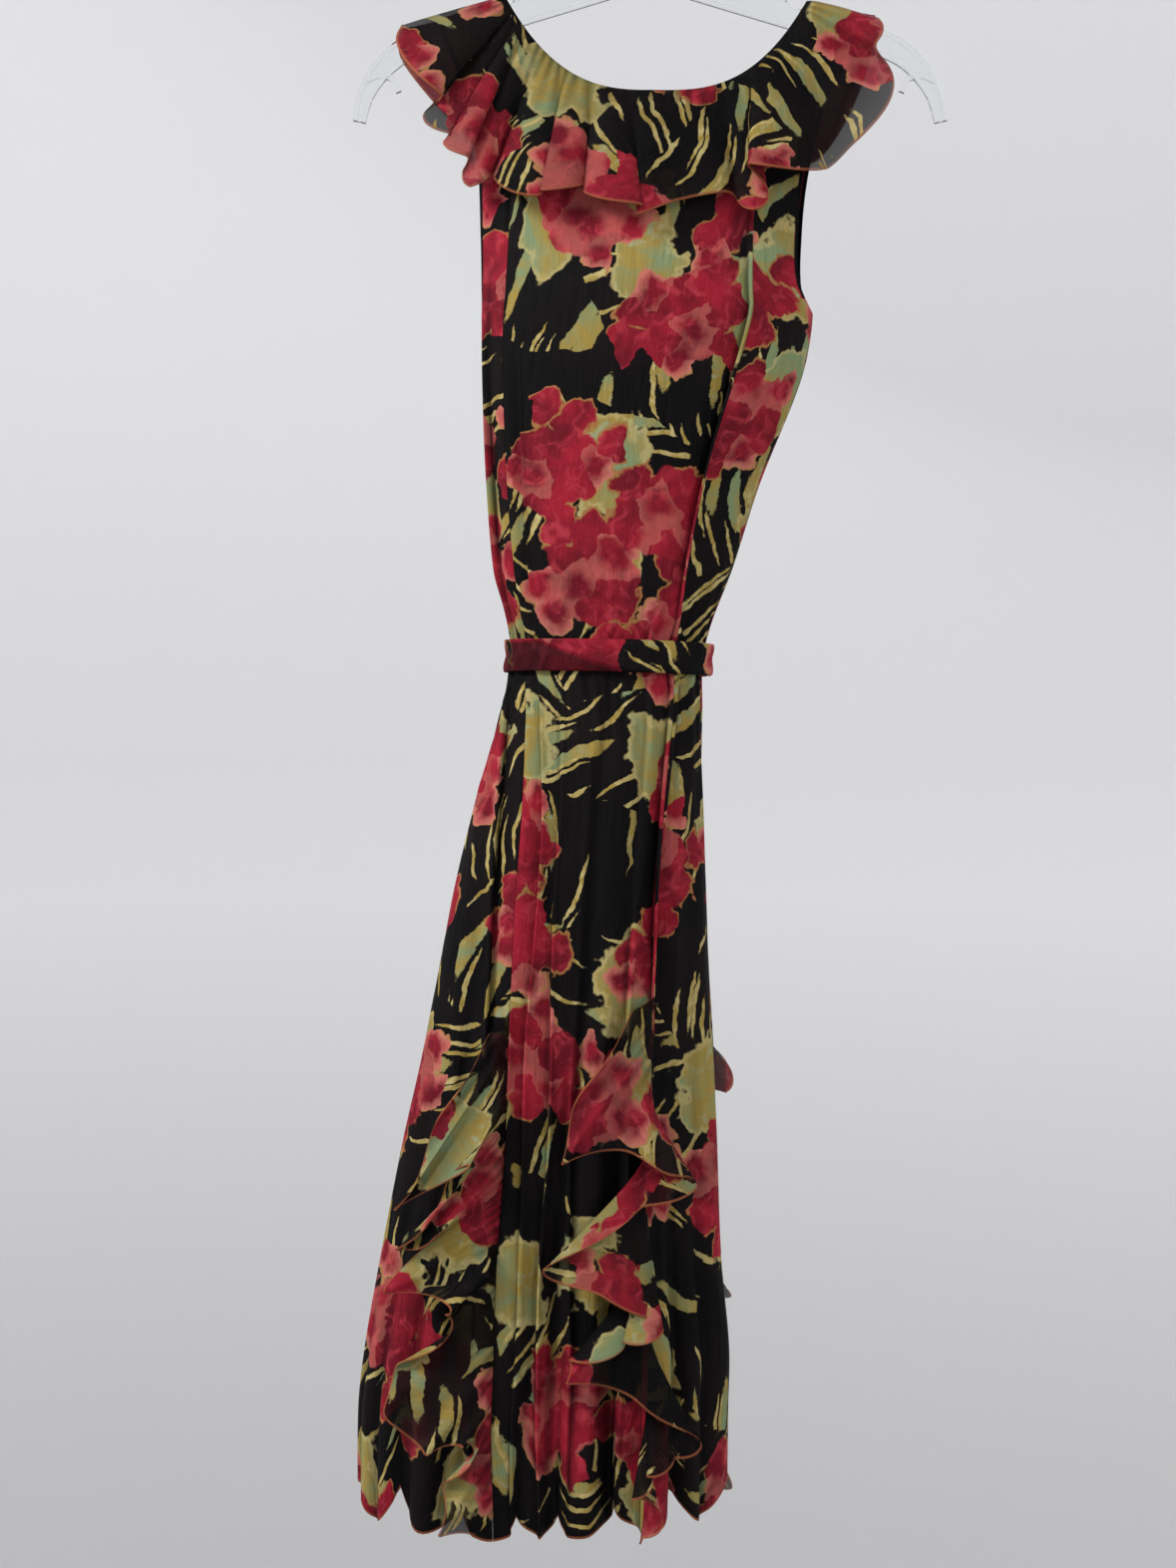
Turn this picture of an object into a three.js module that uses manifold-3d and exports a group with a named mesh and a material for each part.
// Maxi dress in printed crinkle chiffon, hung on a clear plastic hanger.
// Millimetres. X runs to the wearer's left as the front is looked at, the front faces -Y, Z is up.
// The origin is the seat of the hanger's hook, the inside top of its bend.
import * as THREE from "three";
import { mergeVertices } from "three/addons/utils/BufferGeometryUtils.js";
import Module from "manifold-3d";

const wasm = await Module();
wasm.setup();

// Driving dimensions
const WALL = 1.0; // cloth wall
const SEAM = 0.3; // gap between pieces that are sewn together
const HEM_Z = -1158;
const UNDERARM_Z = -323;
const NECK = { x: 4, half: 107, low: -166, power: 2.8 };
const ROOF = { peak: -62, slope: 0.33 }; // top edge of the hanger's arms
const SHOULDER = { rest: 1.6, round: 5.0, fadeFrom: 40, fadeTo: 200, fullAt: 230, power: 1.1 };
const TOP_EDGE = 0.03; // the shoulder seam stops this far below the top of the round
const FLARE = 0.25;
const LIE = WALL + SEAM; // from a panel's middle to the middle of what lies on it
const ROOM = { skirt: 9, neck: 3.6, belt: 4.2 }; // what hangs over the folds stands this far off

const { lerp, clamp, smoothstep, degToRad, radToDeg } = THREE.MathUtils;

// Reading a named column of a table
const rowsOf = (names, rows) =>
  rows.map((row) => Object.fromEntries(names.split(" ").map((name, i) => [name, row[i]])));

function track(rows, along, name) {
  const at = rows.map((row) => row[along]);
  const value = rows.map((row) => row[name]);
  const last = at.length - 1;
  const slope = at.map((_, i) => {
    const a = Math.max(i - 1, 0);
    const b = Math.min(i + 1, last);
    return (value[b] - value[a]) / (at[b] - at[a]);
  });
  return (here) => {
    let i = 0;
    while (i < last - 1 && here > at[i + 1]) i += 1;
    const span = at[i + 1] - at[i];
    const t = clamp((here - at[i]) / span, 0, 1);
    const rest = 1 - t;
    return value[i] * rest * rest * (1 + 2 * t) + value[i + 1] * t * t * (3 - 2 * t)
      + span * t * rest * (slope[i] * rest - slope[i + 1] * t);
  };
}

const tracks = (rows, along) => Object.fromEntries(
  Object.keys(rows[0]).filter((name) => name !== along).map((name) => [name, track(rows, along, name)]));

// The body: one row for each level. left and right are the edges seen from the front, front and back
// the depths of the two halves. The turns, in degrees, say where each seam stands on the level's
// ellipse, from 0 at the right, over 90 at the front, to 180 at the left. openR and openL are
// the turns by which an armhole's edges stand apart from the side seam.
const LEVELS = rowsOf("z left right front back sideR frontR frontL sideL backL backR openR openL", [
  [-1165, -209, 51, 66, 60, 0, 57, 103, 180, 246, 305, 0, 0],
  [-1092, -208, 52, 63, 57, 0, 57, 104, 180, 244, 306, 0, 0],
  [-1050, -203, 53, 61, 55, 0, 57, 105, 180, 242, 306, 0, 0],
  [-985, -191, 48, 58, 53, 0, 56, 107, 180, 238, 307, 0, 0],
  [-900, -174, 46, 54, 50, 0, 56, 110, 180, 235, 308, 0, 0],
  [-843, -161, 44, 51, 48, 0, 56, 114, 180, 232, 309, 0, 0],
  [-730, -139, 39, 46, 43, 0, 53, 120, 182, 229, 311, 0, 0],
  [-660, -123, 38, 42, 39, 0, 50, 126, 184, 226, 313, 0, 0],
  [-600, -107, 38, 36, 34, 1, 47, 138, 186, 224, 315, 0, 0],
  [-562, -98, 37, 32, 31, 1, 46, 150, 188, 224, 316, 0, 0],
  [-540, -100, 42, 33, 32, 2, 47, 150, 188, 224, 316, 0, 0],
  [-500, -111, 58, 37, 36, 3, 53, 146, 188, 224, 317, 0, 0],
  [-440, -115, 77, 40, 40, 3, 55, 149, 188, 224, 318, 0, 0],
  [-364, -118, 107, 43, 42, 3, 55, 151, 188, 225, 318, 0, 0],
  [-323, -119, 115, 43, 43, 3, 52, 150, 188, 226, 318, 0, 0],
  [-305, -119, 114, 43, 43, 3, 51.7, 148.5, 188, 226.2, 317.5, 19, 12],
  [-257, -121, 115, 42, 42, 3, 51, 144.6, 188, 226.8, 316.1, 22, 16],
  [-210, -125, 121, 40, 40, 3, 50.2, 140.7, 188, 227.3, 314.7, 22, 20],
  [-160, -137, 137, 36, 36, 3, 49.5, 136.6, 188, 227.8, 313.3, 24, 23],
  [-117, -152, 160, 32, 32, 3, 48.8, 133, 188, 228.3, 312, 20, 20],
  [-90, -160, 168, 30, 30, 3, 48.4, 131.5, 188, 228.5, 311.5, 20, 20],
]);
const level = tracks(LEVELS, "z");

// Lengthwise folds, each beside a seam: how far off it stands in mm, half width, lean, where it
// starts, and its depth in the bodice, at the waist, in the skirt and beside the flounces.
const FOLDS = rowsOf("seam off width lean start top waist skirt hem", [
  ["frontR", 9, 5.0, -0.95, -190, 6.0, 1.4, 5.0, 2.0],
  ["frontR", -9, 5.0, 0.6, -520, 0.0, 1.4, 5.0, 2.0],
  ["frontL", -7, 4.5, -0.9, -330, 3.5, 1.4, 4.5, 2.0],
  ["frontL", 9, 4.5, 0.9, -250, 4.0, 1.4, 5.0, 2.0],
  ["backR", 8, 5.0, 0.9, -260, 4.0, 1.4, 5.0, 2.0],
  ["backR", -10, 5.0, -0.8, -420, 2.0, 1.4, 5.0, 2.0],
  ["backL", -8, 5.0, -0.9, -240, 4.0, 1.4, 5.0, 2.0],
  ["backL", 10, 5.0, 0.8, -420, 2.5, 1.4, 5.0, 2.0],
]);

// Furrows of the wide hem: turn at the hem, half width, depth, and the level where each fades out.
const WAVE_SINK = 0.03; // the crests between them stand this much out, of each depth
const WAVES = rowsOf("turn width height fade", [
  [24, 13, 9, -720], [41, 13, 9, -660], [70, 13, 8, -760], [87, 14, 9, -640], [120, 12, 8, -720],
  [136, 13, 9, -680], [154, 13, 8, -780], [173, 12, 6, -860], [196, 13, 8, -800], [214, 13, 9, -700],
  [230, 12, 7, -860], [262, 14, 9, -680], [279, 14, 9, -760], [294, 13, 7, -840], [322, 13, 9, -700],
  [341, 13, 7, -780],
]);

const roofAt = (x) => ROOF.peak - ROOF.slope * Math.abs(x) + SHOULDER.rest;
const shoulderAt = (x) => roofAt(x) - TOP_EDGE;
const neckAt = (x) => {
  const high = shoulderAt(NECK.x + Math.sign(x - NECK.x) * NECK.half);
  const across = Math.min(Math.abs(x - NECK.x) / NECK.half, 1.3);
  return NECK.low + (high - NECK.low) * across ** NECK.power;
};

// Half depth at a place: round over the hanger's arm at the top, then opening to the ellipse.
function halfDepth(x, z, full, swing, extra) {
  const below = Math.max(roofAt(x) + extra - z, 0);
  const round = SHOULDER.round + extra;
  const arc = below < round ? Math.sqrt(below * (2 * round - below)) : round;
  const kept = arc * (1 - smoothstep(below, SHOULDER.fadeFrom, SHOULDER.fadeTo));
  const grown = clamp(below / SHOULDER.fullAt, 0, 1) ** SHOULDER.power;
  return kept + full * grown * swing;
}

// Ellipse of a level, in plan, before any fold
function ellipseAt(z) {
  const left = level.left(z);
  const right = level.right(z);
  return { x: (left + right) / 2, half: (right - left) / 2, front: level.front(z), back: level.back(z) };
}

function basePoint(turn, z) {
  const ring = ellipseAt(z);
  const angle = degToRad(turn);
  const side = Math.sin(angle) >= 0 ? 1 : -1;
  const x = ring.x + ring.half * Math.cos(angle);
  const full = side > 0 ? ring.front : ring.back;
  return new THREE.Vector3(x, -side * halfDepth(x, z, full, Math.abs(Math.sin(angle)), 0), z);
}

const turnsApart = (a, b) => ((((a - b) % 360) + 540) % 360) - 180;
const mmPerTurn = (turn, z) =>
  basePoint(turn + 0.5, z).distanceTo(basePoint(turn - 0.5, z));

const foldHeight = FOLDS.map((fold) => track(rowsOf("z height", [
  [HEM_Z, fold.hem], [-850, fold.hem], [-730, fold.skirt], [-620, lerp(fold.waist, fold.skirt, 0.5)],
  [-562, fold.waist], [-510, lerp(fold.waist, fold.top, 0.4)],
  [Math.min(-430, fold.start - 60), fold.top], [fold.start, 0], [fold.start + 1, 0],
]), "z", "height"));

// How far the folds and waves carry a place inward and along the level
function foldMove(turn, z) {
  const scale = mmPerTurn(turn, z);
  let inward = 0;
  let along = 0;
  FOLDS.forEach((fold, i) => {
    const off = turnsApart(turn, level[fold.seam](z)) * scale - fold.off;
    const bell = Math.exp(-((off / fold.width) ** 2));
    const rise = Math.max(foldHeight[i](z), 0) * bell;
    inward += rise;
    along += rise * fold.lean;
  });
  WAVES.forEach((wave) => {
    const shift = (90 - wave.turn) * 0.1 * smoothstep(z, HEM_Z, wave.fade);
    const off = turnsApart(turn, wave.turn + shift) * scale;
    const grow = 1 - smoothstep(z, HEM_Z, wave.fade);
    inward += wave.height * grow * (Math.exp(-((off / wave.width) ** 2)) - WAVE_SINK);
  });
  return { inward, along: along / scale };
}

function bodyPoint(turn, z) {
  const move = foldMove(turn, z);
  const here = basePoint(turn + move.along, z);
  const ahead = basePoint(turn + move.along + 0.5, z).sub(here);
  const inward = new THREE.Vector3(ahead.y, -ahead.x, 0).normalize();
  return here.addScaledVector(inward, move.inward);
}

const clothPerTurn = (turn, z) =>
  Math.max(bodyPoint(turn + 0.1, z).distanceTo(bodyPoint(turn - 0.1, z)) / 0.2, 0.2);

function bodyNormal(turn, z) {
  const around = bodyPoint(turn + 0.4, z).sub(bodyPoint(turn - 0.4, z));
  const step = 0.05;
  const above = Math.min(z + step, roofAt(basePoint(turn, z).x) - TOP_EDGE / 2);
  const upward = bodyPoint(turn, above).sub(bodyPoint(turn, z - step));
  return around.cross(upward).normalize().negate();
}

// A closed wall on a grid of middle points, half its thickness to each side. A round one joins its
// last column to its first. raise lifts the outer points only.
function wall(name, cloth, columns, rows, pointAt, normalAt, shape = {}) {
  const { thickness = WALL, round = false, raise = () => 0 } = shape;
  const wide = round ? columns : columns + 1;
  const grid = [];
  for (const side of [0.5, -0.5]) {
    for (let j = 0; j <= rows; j += 1) {
      for (let i = 0; i < wide; i += 1) {
        const [u, v] = [i / columns, j / rows];
        const move = side * thickness + (side > 0 ? raise(u, v) : 0);
        grid.push(pointAt(u, v).addScaledVector(normalAt(u, v), move));
      }
    }
  }
  const inner = wide * (rows + 1);
  const faces = [];
  const quad = (a, b, c, d) => faces.push(a, b, c, a, c, d);
  for (let i = 0; i < columns; i += 1) {
    const next = (i + 1) % wide;
    for (let j = 0; j < rows; j += 1) {
      const [a, b] = [j * wide + i, j * wide + next];
      quad(a, b, b + wide, a + wide);
      quad(inner + a, inner + a + wide, inner + b + wide, inner + b);
    }
    const top = rows * wide;
    quad(next, i, inner + i, inner + next);
    quad(top + i, top + next, inner + top + next, inner + top + i);
  }
  for (let j = 0; j < rows && !round; j += 1) {
    const a = j * wide;
    const b = a + columns;
    quad(a, a + wide, inner + a + wide, inner + a);
    quad(b + wide, b, inner + b, inner + b + wide);
  }
  return solid(name, cloth, grid, faces);
}

function signedVolume(points, faces) {
  let volume = 0;
  for (let i = 0; i < faces.length; i += 3) {
    const [a, b, c] = [points[faces[i]], points[faces[i + 1]], points[faces[i + 2]]];
    volume += a.dot(b.clone().cross(c)) / 6;
  }
  return volume;
}

function solid(name, material, points, faces) {
  if (signedVolume(points, faces) < 0) faces.reverse();
  const geometry = new THREE.BufferGeometry().setFromPoints(points);
  geometry.setIndex(faces);
  geometry.computeVertexNormals();
  const mesh = new THREE.Mesh(geometry, material);
  mesh.name = name;
  return mesh;
}

// Normal of a surface given only as a function of two fractions, over one cell of its grid
const normalOf = (pointAt, columns, rows) => (u, v) => {
  const [du, dv] = [1 / columns, 1 / rows];
  const across = pointAt(Math.min(u + du, 1), v).sub(pointAt(Math.max(u - du, 0), v));
  const along = pointAt(u, Math.min(v + dv, 1)).sub(pointAt(u, Math.max(v - dv, 0)));
  return across.cross(along).normalize();
};

// Finishes
const finish = (color, roughness, extra = {}) =>
  new THREE.MeshStandardMaterial({ color, roughness, metalness: 0, side: THREE.DoubleSide, ...extra });
const CHIFFON = finish(0x4a2a30, 0.8);
const CHIFFON_SHEER = finish(0x6b4a3c, 0.8);
const CLEAR = finish(0xdfe6ea, 0.1, { transparent: true, opacity: 0.4 });
const CHROME = finish(0xc9cbcd, 0.2, { metalness: 1 });

// Panels: a panel lies between two seams, each a turn and a level for every row.
// Rows are level up to the underarm and then close up to the neck and shoulder. Each panel is cut in
// a skirt and a bodice piece, and the seam that joins them lies under the belt.
const ARM_ROW = 0.75; // share of a panel's rows that lie below the underarm
const CLOSE = 2.6; // above it the rows crowd towards the shoulder's round by this power
const WAIST_ROW = 0.53125; // share of a panel's rows up to the waist seam
const CORNER = { R: NECK.x + NECK.half, L: NECK.x - NECK.half };

const armShare = (v) => 1 - (1 - clamp((v - ARM_ROW) / (1 - ARM_ROW), 0, 1)) ** CLOSE;

function rowLevel(v, top) {
  if (v <= ARM_ROW) return lerp(HEM_Z, UNDERARM_Z, v / ARM_ROW);
  return lerp(UNDERARM_Z, top, armShare(v));
}

function turnFor(x, z, front) {
  const ring = ellipseAt(z);
  const turn = radToDeg(Math.acos(clamp((x - ring.x) / ring.half, -1, 1)));
  return front ? turn : 360 - turn;
}

// Princess seam, ending at the corner of neck and shoulder
function princess(name) {
  const front = name.startsWith("front");
  const x = CORNER[name.at(-1)];
  const top = shoulderAt(x);
  const turnTop = turnFor(x, top, front);
  return (v) => {
    const z = rowLevel(v, top);
    if (v <= ARM_ROW) return { turn: level[name](z), z };
    return { turn: lerp(level[name](UNDERARM_Z), turnTop, armShare(v)), z };
  };
}

// Side seam, then the armhole's edge out to the end of the shoulder
function sideEdge(hand, front) {
  const outer = hand === "R" ? 147 : -144;
  const top = shoulderAt(outer);
  const ahead = (hand === "R") === front ? 1 : -1;
  return (v) => {
    const z = rowLevel(v, top);
    const turn = level[`side${hand}`](z) + ahead * Math.max(level[`open${hand}`](z), 0);
    return { turn, z };
  };
}

function panel(name, from, to, columns, rows, topAt) {
  const [first, second] = [from(1), to(1)];
  const topDrop = (u) => {
    const straight = lerp(first.z, second.z, u);
    const turn = degToRad(first.turn + turnsApart(second.turn, first.turn) * u);
    let top = straight;
    for (let pass = 0; pass < 30; pass += 1) {
      const ring = ellipseAt(top);
      top = topAt(ring.x + ring.half * Math.cos(turn));
    }
    return top - straight;
  };
  const place = (u, v) => {
    const a = from(v);
    const b = to(v);
    const gap = SEAM / 2;
    const start = a.turn + gap / clothPerTurn(a.turn, a.z);
    const span = turnsApart(b.turn, a.turn) - gap / clothPerTurn(b.turn, b.z) - (start - a.turn);
    const turn = start + span * u;
    const z = lerp(a.z, b.z, u);
    if (v <= ARM_ROW) return { turn, z };
    return { turn, z: z + armShare(v) * topDrop(u) };
  };
  const pointAt = (u, v) => {
    const at = place(u, v);
    return bodyPoint(at.turn, at.z);
  };
  const normalAt = (u, v) => {
    const at = place(u, v);
    return bodyNormal(at.turn, at.z);
  };
  const upper = WAIST_ROW + SEAM * ARM_ROW / (UNDERARM_Z - HEM_Z);
  return [["skirt", 0, WAIST_ROW], ["bodice", upper, 1]].map(([part, low, high]) => {
    const within = (at) => (u, v) => at(u, lerp(low, high, v));
    const count = Math.round(rows * (high - low));
    return wall(`${name}_${part}`, CHIFFON, columns, count, within(pointAt), within(normalAt));
  });
}

const FRONT_ROWS = 32;
const BACK_ROWS = 28;
const panels = [
  panel("side_front_right", sideEdge("R", true), princess("frontR"), 9, FRONT_ROWS, shoulderAt),
  panel("centre_front", princess("frontR"), princess("frontL"), 17, FRONT_ROWS, neckAt),
  panel("side_front_left", princess("frontL"), sideEdge("L", true), 9, FRONT_ROWS, shoulderAt),
  panel("side_back_left", sideEdge("L", false), princess("backL"), 8, BACK_ROWS, shoulderAt),
  panel("centre_back", princess("backL"), princess("backR"), 14, BACK_ROWS, neckAt),
  panel("side_back_right", princess("backR"), sideEdge("R", false), 8, BACK_ROWS, shoulderAt),
].flat();

// What hangs over the body: y of the smooth form, a given room outside it
function overBody(x, z, side, room) {
  const ring = ellipseAt(z);
  const half = ring.half + room;
  const swing = Math.sqrt(Math.max(1 - ((x - ring.x) / half) ** 2, 0));
  const full = (side > 0 ? ring.front : ring.back) + room;
  return -side * halfDepth(x, z, full, swing, room);
}

// A flounce: its sewn edge follows seamAt, its free edge the rows of a table, and from one to the
// other the cloth first steps out over the folds and then hangs, lifted most at the free edge.
// flare leans it off the body for each mm it hangs down, so that upper folds lie over lower ones.
function flounce(name, side, rows, seamAt, room, flare, steps, columns) {
  const along = rows.map((row, i) => ({ i, ...row }));
  const edge = tracks(along, "i");
  const last = rows.length - 1;
  const pointAt = (u, v) => {
    const here = v * last;
    const seam = seamAt(edge.seam(here));
    const x = lerp(seam.x, edge.x(here), u);
    const z = lerp(seam.z, edge.z(here), u);
    const stand = Math.max(edge.lift(here), 0.8) * u ** 1.2 + flare * Math.max(seam.z - z, 0);
    const hang = overBody(x, z, side, room) - side * stand;
    const step = 1 - (1 - clamp(u / 0.16, 0, 1)) ** 2;
    return new THREE.Vector3(x, lerp(seam.y, hang, step), z);
  };
  const sections = last * steps;
  return wall(name, CHIFFON_SHEER, columns, sections, pointAt, normalOf(pointAt, columns, sections));
}

const onBody = (turn, z) => bodyPoint(turn, z).addScaledVector(bodyNormal(turn, z), LIE);
const seamPoint = (name) => (z) => onBody(level[name](z), z);
const neckPoint = (front) => (x) => {
  const z = neckAt(x);
  return onBody(turnFor(x, z, front), z);
};

// Neck ruffle, front: sewn at neck x, free edge at x and z, lifted so far off the body
const RUFFLE_FRONT = rowsOf("seam x z lift", [
  [110, 159, -107, 1], [106, 163, -148, 8], [99, 153, -203, 14], [87, 112, -224, 12],
  [73, 74, -227, 14], [58, 73, -253, 5], [38, 46, -243, 6], [18, 22, -248, 2],
  [-6, -7, -264, 9], [-26, -23, -249, 3], [-48, -64, -238, 3], [-64, -86, -246, 10],
  [-76, -110, -225, 2], [-84, -125, -232, 9], [-90, -134, -212, 13], [-94, -146, -194, 4],
  [-97, -156, -174, 11], [-100, -167, -139, 4], [-102, -176, -115, 1],
]);

// The back ruffle falls in even flutes, and its right end hangs lowest.
const BACK_FLUTES = 8;
const RUFFLE_BACK = rowsOf("seam x z lift", [[110, 159, -107, 1], [107, 161, -130, 6]]);
for (let k = 1; k < 2 * BACK_FLUTES; k += 1) {
  const share = k / (2 * BACK_FLUTES);
  const seam = lerp(106, -98, share);
  const spread = ((seam - NECK.x) / NECK.half) ** 3;
  const drop = 74 + (k % 2 ? 7 : -5) - 18 * Math.abs(spread);
  RUFFLE_BACK.push({ seam, x: seam + 52 * spread, z: neckAt(seam) - drop, lift: k % 2 ? 11 : 3 });
}
RUFFLE_BACK.push(...rowsOf("seam x z lift", [[-99, -171, -138, 5], [-102, -176, -115, 1]]));

// Cascades in the princess seams: sewn at level seam, free edge at x and z
const CASCADE_FRONT_LEFT = rowsOf("seam x z lift", [
  [-808, -112, -822, 2], [-834, -171, -937, 2], [-868, -124, -904, 7], [-892, -171, -968, 2],
  [-922, -138, -952, 6], [-950, -184, -993, 2], [-984, -134, -1008, 6], [-1016, -183, -1064, 2],
  [-1044, -156, -1098, 5], [-1076, -124, -1096, 3], [-1106, -146, -1144, 5], [-1146, -120, -1157, 2],
]);
const CASCADE_FRONT_RIGHT = rowsOf("seam x z lift", [
  [-798, -14, -806, 2], [-824, -63, -896, 3], [-850, -20, -900, 5], [-872, 28, -922, 3],
  [-890, -8, -940, 2], [-912, -73, -978, 3], [-932, -34, -992, 4], [-952, 2, -1016, 3],
  [-968, -22, -1028, 2], [-988, -61, -1044, 3], [-1010, -14, -1064, 4], [-1034, 30, -1098, 3],
  [-1056, 6, -1112, 2], [-1082, -9, -1128, 3], [-1116, -3, -1152, 3], [-1146, -6, -1164, 2],
]);

// A hidden cascade, in even lobes that swing to both sides of its seam, wider towards the hem
function cascade(seamName, top, lobes, reachTop, reachHem) {
  const rows = [];
  const seamAt = seamPoint(seamName);
  for (let k = 0; k <= 2 * lobes; k += 1) {
    const tip = k % 2 === 1;
    const seam = lerp(top, -1144, k / (2 * lobes));
    const reach = lerp(reachTop, reachHem, k / (2 * lobes));
    const swing = tip ? reach * (k % 4 === 1 ? 1 : -0.6) : reach * 0.2;
    const drop = Math.min(tip ? 40 + 2 * k : 10 + 3 * k, seam + 1160);
    rows.push({ seam, x: seamAt(seam).x + swing, z: seam - drop, lift: tip ? 2 : 5 });
  }
  return rows;
}

const CASCADE_BACK_LEFT = cascade("backL", -738, 6, -24, -62);
const CASCADE_BACK_RIGHT = cascade("backR", -790, 5, 52, 58);

const flounces = [
  flounce("neck_ruffle_front", 1, RUFFLE_FRONT, neckPoint(true), ROOM.neck, 0, 2, 5),
  flounce("neck_ruffle_back", -1, RUFFLE_BACK, neckPoint(false), ROOM.neck, 0, 2, 5),
  flounce("flounce_front_left", 1, CASCADE_FRONT_LEFT, seamPoint("frontL"), ROOM.skirt, FLARE, 3, 5),
  flounce("flounce_front_right", 1, CASCADE_FRONT_RIGHT, seamPoint("frontR"), ROOM.skirt, FLARE, 4, 5),
  flounce("flounce_back_left", -1, CASCADE_BACK_LEFT, seamPoint("backL"), ROOM.skirt, FLARE, 3, 4),
  flounce("flounce_back_right", -1, CASCADE_BACK_RIGHT, seamPoint("backR"), ROOM.skirt, FLARE, 3, 4),
];

// Belt: a folded strip round the waist, tied at the back, where two tails hang
const BELT = { z: -562, height: 22, tilt: 0.02, thickness: 1.6, lap: 0.8 };

function beltPoint(u, v, room = ROOM.belt) {
  const angle = 2 * Math.PI * u;
  const x = Math.cos(angle);
  const z = BELT.z + (v - 0.5) * BELT.height - BELT.tilt * 70 * x;
  const ring = ellipseAt(z);
  const full = Math.sin(angle) > 0 ? ring.front : ring.back;
  return new THREE.Vector3(ring.x + (ring.half + room) * x, -(full + room) * Math.sin(angle), z);
}

// The upper half of the strip laps over the lower one along a slant across the front.
function beltLap(u, v) {
  const slant = smoothstep(u, 0.08, 0.42);
  return BELT.lap * smoothstep(v, slant - 0.12, slant + 0.12);
}

const KNOT = { x: -28, wide: 15, deep: 7.5, high: 13 };
KNOT.y = overBody(KNOT.x, BELT.z, -1, ROOM.belt) + BELT.thickness / 2 + KNOT.deep;

// A tail leaves the knot narrow, tuck below its end, spreads, and hangs with a slow turn.
function beltTail(name, hand, tuck, end) {
  const width = 18;
  const pointAt = (u, v) => {
    const free = smoothstep(v, 0, 0.14);
    const z = lerp(BELT.z - KNOT.high + tuck, end, v);
    const across = (u - 0.5) * lerp(8, width, free);
    const bend = hand * (0.65 * v + 0.2 * Math.sin(9 * v));
    const x = KNOT.x + hand * (5.2 + 5.6 * free + 5 * smoothstep(v, 0.2, 0.8)) + across * Math.cos(bend);
    const y = lerp(KNOT.y, overBody(x, z, -1, ROOM.skirt + 3), free) + across * Math.sin(bend) * 0.7;
    return new THREE.Vector3(x, y, z);
  };
  return wall(name, CHIFFON, 3, 15, pointAt, normalOf(pointAt, 3, 15), { thickness: BELT.thickness });
}

function beltKnot() {
  const ball = new THREE.SphereGeometry(1, 14, 8);
  const place = ball.getAttribute("position");
  for (let i = 0; i < place.count; i += 1) {
    const at = new THREE.Vector3().fromBufferAttribute(place, i);
    const tuck = 1 + 0.08 * Math.cos(3 * Math.atan2(at.z, at.x) + 2.5 * at.y);
    place.setXYZ(i, at.x * KNOT.wide * tuck, at.y * KNOT.deep, at.z * KNOT.high * tuck);
  }
  const mesh = new THREE.Mesh(ball, CHIFFON);
  mesh.name = "belt_knot";
  mesh.position.set(KNOT.x, KNOT.y, BELT.z);
  return mesh;
}

const beltNormal = (u, v) => beltPoint(u, v, 5).sub(beltPoint(u, v, 0)).normalize();
const belt = [
  wall("belt_band", CHIFFON, 40, 3, beltPoint, beltNormal,
    { thickness: BELT.thickness, round: true, raise: beltLap }),
  beltKnot(),
  beltTail("belt_tail_left", -1, -0.7, -882),
  beltTail("belt_tail_right", 1, 0.3, -846),
];

// Hanger: two arms of a thin web with thicker rims, a neck, and a wire hook
const HANGER = { web: 2, rim: 4, rimHeight: 3, neckRadius: 8, bore: 2 };
const ARM = rowsOf("x z height", [
  [-6, -73, 22], [60, -93, 22], [120, -112, 20], [163, -126, 18], [180, -135, 16], [193, -148, 14],
  [202, -164, 11], [206, -182, 9],
]);
const STRAP_NOTCH = { x: 106, radius: 9.5, above: 4 }; // cut in each arm's top edge
const HOOK = { inner: 19, wire: 1.7, stem: -66 };

const toManifold = (mesh) => {
  mesh.updateMatrixWorld(true);
  const geometry = mesh.geometry.clone().applyMatrix4(mesh.matrixWorld);
  const merged = mergeVertices(dropAttributes(geometry), 1e-4);
  return new wasm.Manifold(new wasm.Mesh({
    numProp: 3,
    vertProperties: merged.getAttribute("position").array,
    triVerts: new Uint32Array(merged.index.array),
  }));
};

function dropAttributes(geometry) {
  geometry.deleteAttribute("normal");
  geometry.deleteAttribute("uv");
  return geometry;
}

function fromManifold(name, material, body) {
  const mesh = body.getMesh();
  const geometry = new THREE.BufferGeometry();
  geometry.setAttribute("position", new THREE.BufferAttribute(mesh.vertProperties, 3));
  geometry.setIndex(new THREE.BufferAttribute(mesh.triVerts, 1));
  geometry.computeVertexNormals();
  const made = new THREE.Mesh(geometry, material);
  made.name = name;
  return made;
}

// A flat bar along a curve in the XZ plane, from one share of the height to another
function bar(hand, curve, heightAt, from, to, thickness, steps) {
  const pointAt = (u, v) => {
    const here = curve.getPoint(u);
    const way = curve.getTangent(u);
    const offset = lerp(from(u), to(u), v) * heightAt(u);
    return new THREE.Vector3(hand * (here.x - way.z * offset), 0, here.z + way.x * offset);
  };
  return toManifold(wall("bar", CLEAR, steps, 1, pointAt, () => new THREE.Vector3(0, 1, 0), { thickness }));
}

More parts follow.
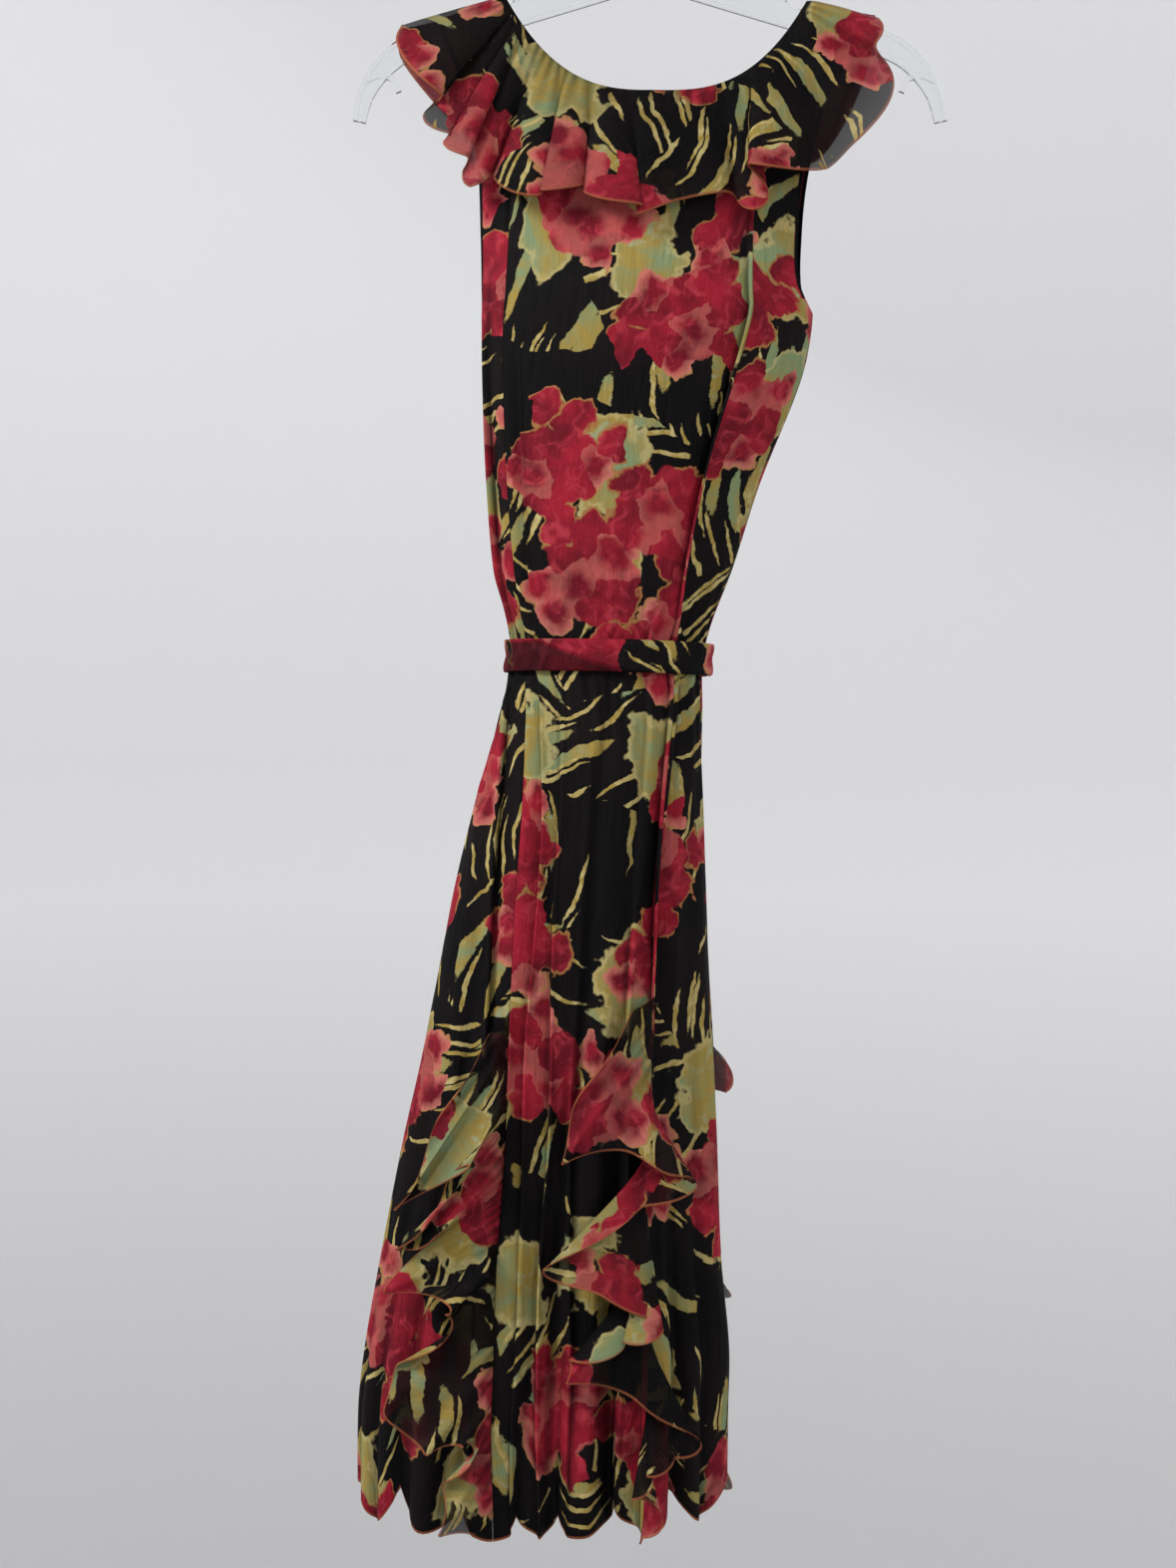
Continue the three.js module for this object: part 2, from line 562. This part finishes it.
function hangerBody() {
  const curve = new THREE.CatmullRomCurve3(ARM.map((row) => new THREE.Vector3(row.x, 0, row.z)));
  const heights = track(ARM.map((row, i) => ({ i, height: row.height })), "i", "height");
  const heightAt = (u) => heights(u * (ARM.length - 1));
  const rimShare = (u) => 0.5 - HANGER.rimHeight / heightAt(u);
  const scroll = new THREE.CatmullRomCurve3([[201, -153], [192, -149], [182, -152], [178, -161]]
    .map(([x, z]) => new THREE.Vector3(x, 0, z)));
  let body = toManifold(new THREE.Mesh(
    new THREE.CylinderGeometry(HANGER.neckRadius, HANGER.neckRadius + 2, 30, 24).rotateX(Math.PI / 2)
      .translate(0, 0, -67)));
  for (const hand of [1, -1]) {
    body = body.add(bar(hand, curve, heightAt, () => -0.5, () => 0.5, HANGER.web, 14));
    body = body.add(bar(hand, curve, heightAt, rimShare, () => 0.5, HANGER.rim, 14));
    body = body.add(bar(hand, curve, heightAt, () => -0.5, (u) => -rimShare(u), HANGER.rim, 14));
    body = body.add(bar(hand, scroll, () => 4, () => -0.5, () => 0.5, HANGER.rim - 1, 6));
    const top = ROOF.peak - ROOF.slope * STRAP_NOTCH.x + STRAP_NOTCH.above;
    body = body.subtract(toManifold(new THREE.Mesh(
      new THREE.CylinderGeometry(STRAP_NOTCH.radius, STRAP_NOTCH.radius, 12, 28)
        .translate(hand * STRAP_NOTCH.x, 0, top))));
  }
  const bore = toManifold(new THREE.Mesh(
    new THREE.CylinderGeometry(HANGER.bore, HANGER.bore, 30, 20).rotateX(Math.PI / 2)
      .translate(0, 0, HOOK.stem + 15 - 0.3)));
  return fromManifold("hanger_body", CLEAR, body.subtract(bore));
}

function hangerHook() {
  const radius = HOOK.inner + HOOK.wire;
  const bend = [];
  for (let k = 0; k <= 12; k += 1) {
    const angle = degToRad(lerp(-30, 232, k / 12));
    bend.push(new THREE.Vector3(radius * Math.cos(angle), 0, radius * Math.sin(angle) - HOOK.inner));
  }
  bend.push(new THREE.Vector3(-3, 0, -40), new THREE.Vector3(0, 0, -47), new THREE.Vector3(0, 0, -56));
  bend.push(new THREE.Vector3(0, 0, HOOK.stem));
  const section = new THREE.Shape().absarc(0, 0, HOOK.wire, 0, 2 * Math.PI);
  const path = new THREE.CatmullRomCurve3(bend);
  const geometry = new THREE.ExtrudeGeometry(section, { steps: 32, curveSegments: 4, extrudePath: path });
  const mesh = new THREE.Mesh(geometry, CHROME);
  mesh.name = "hanger_hook";
  return mesh;
}

const dress = new THREE.Group();
dress.name = "maxi_dress_on_hanger";
dress.add(...panels, ...flounces, ...belt, hangerBody(), hangerHook());
export default dress;
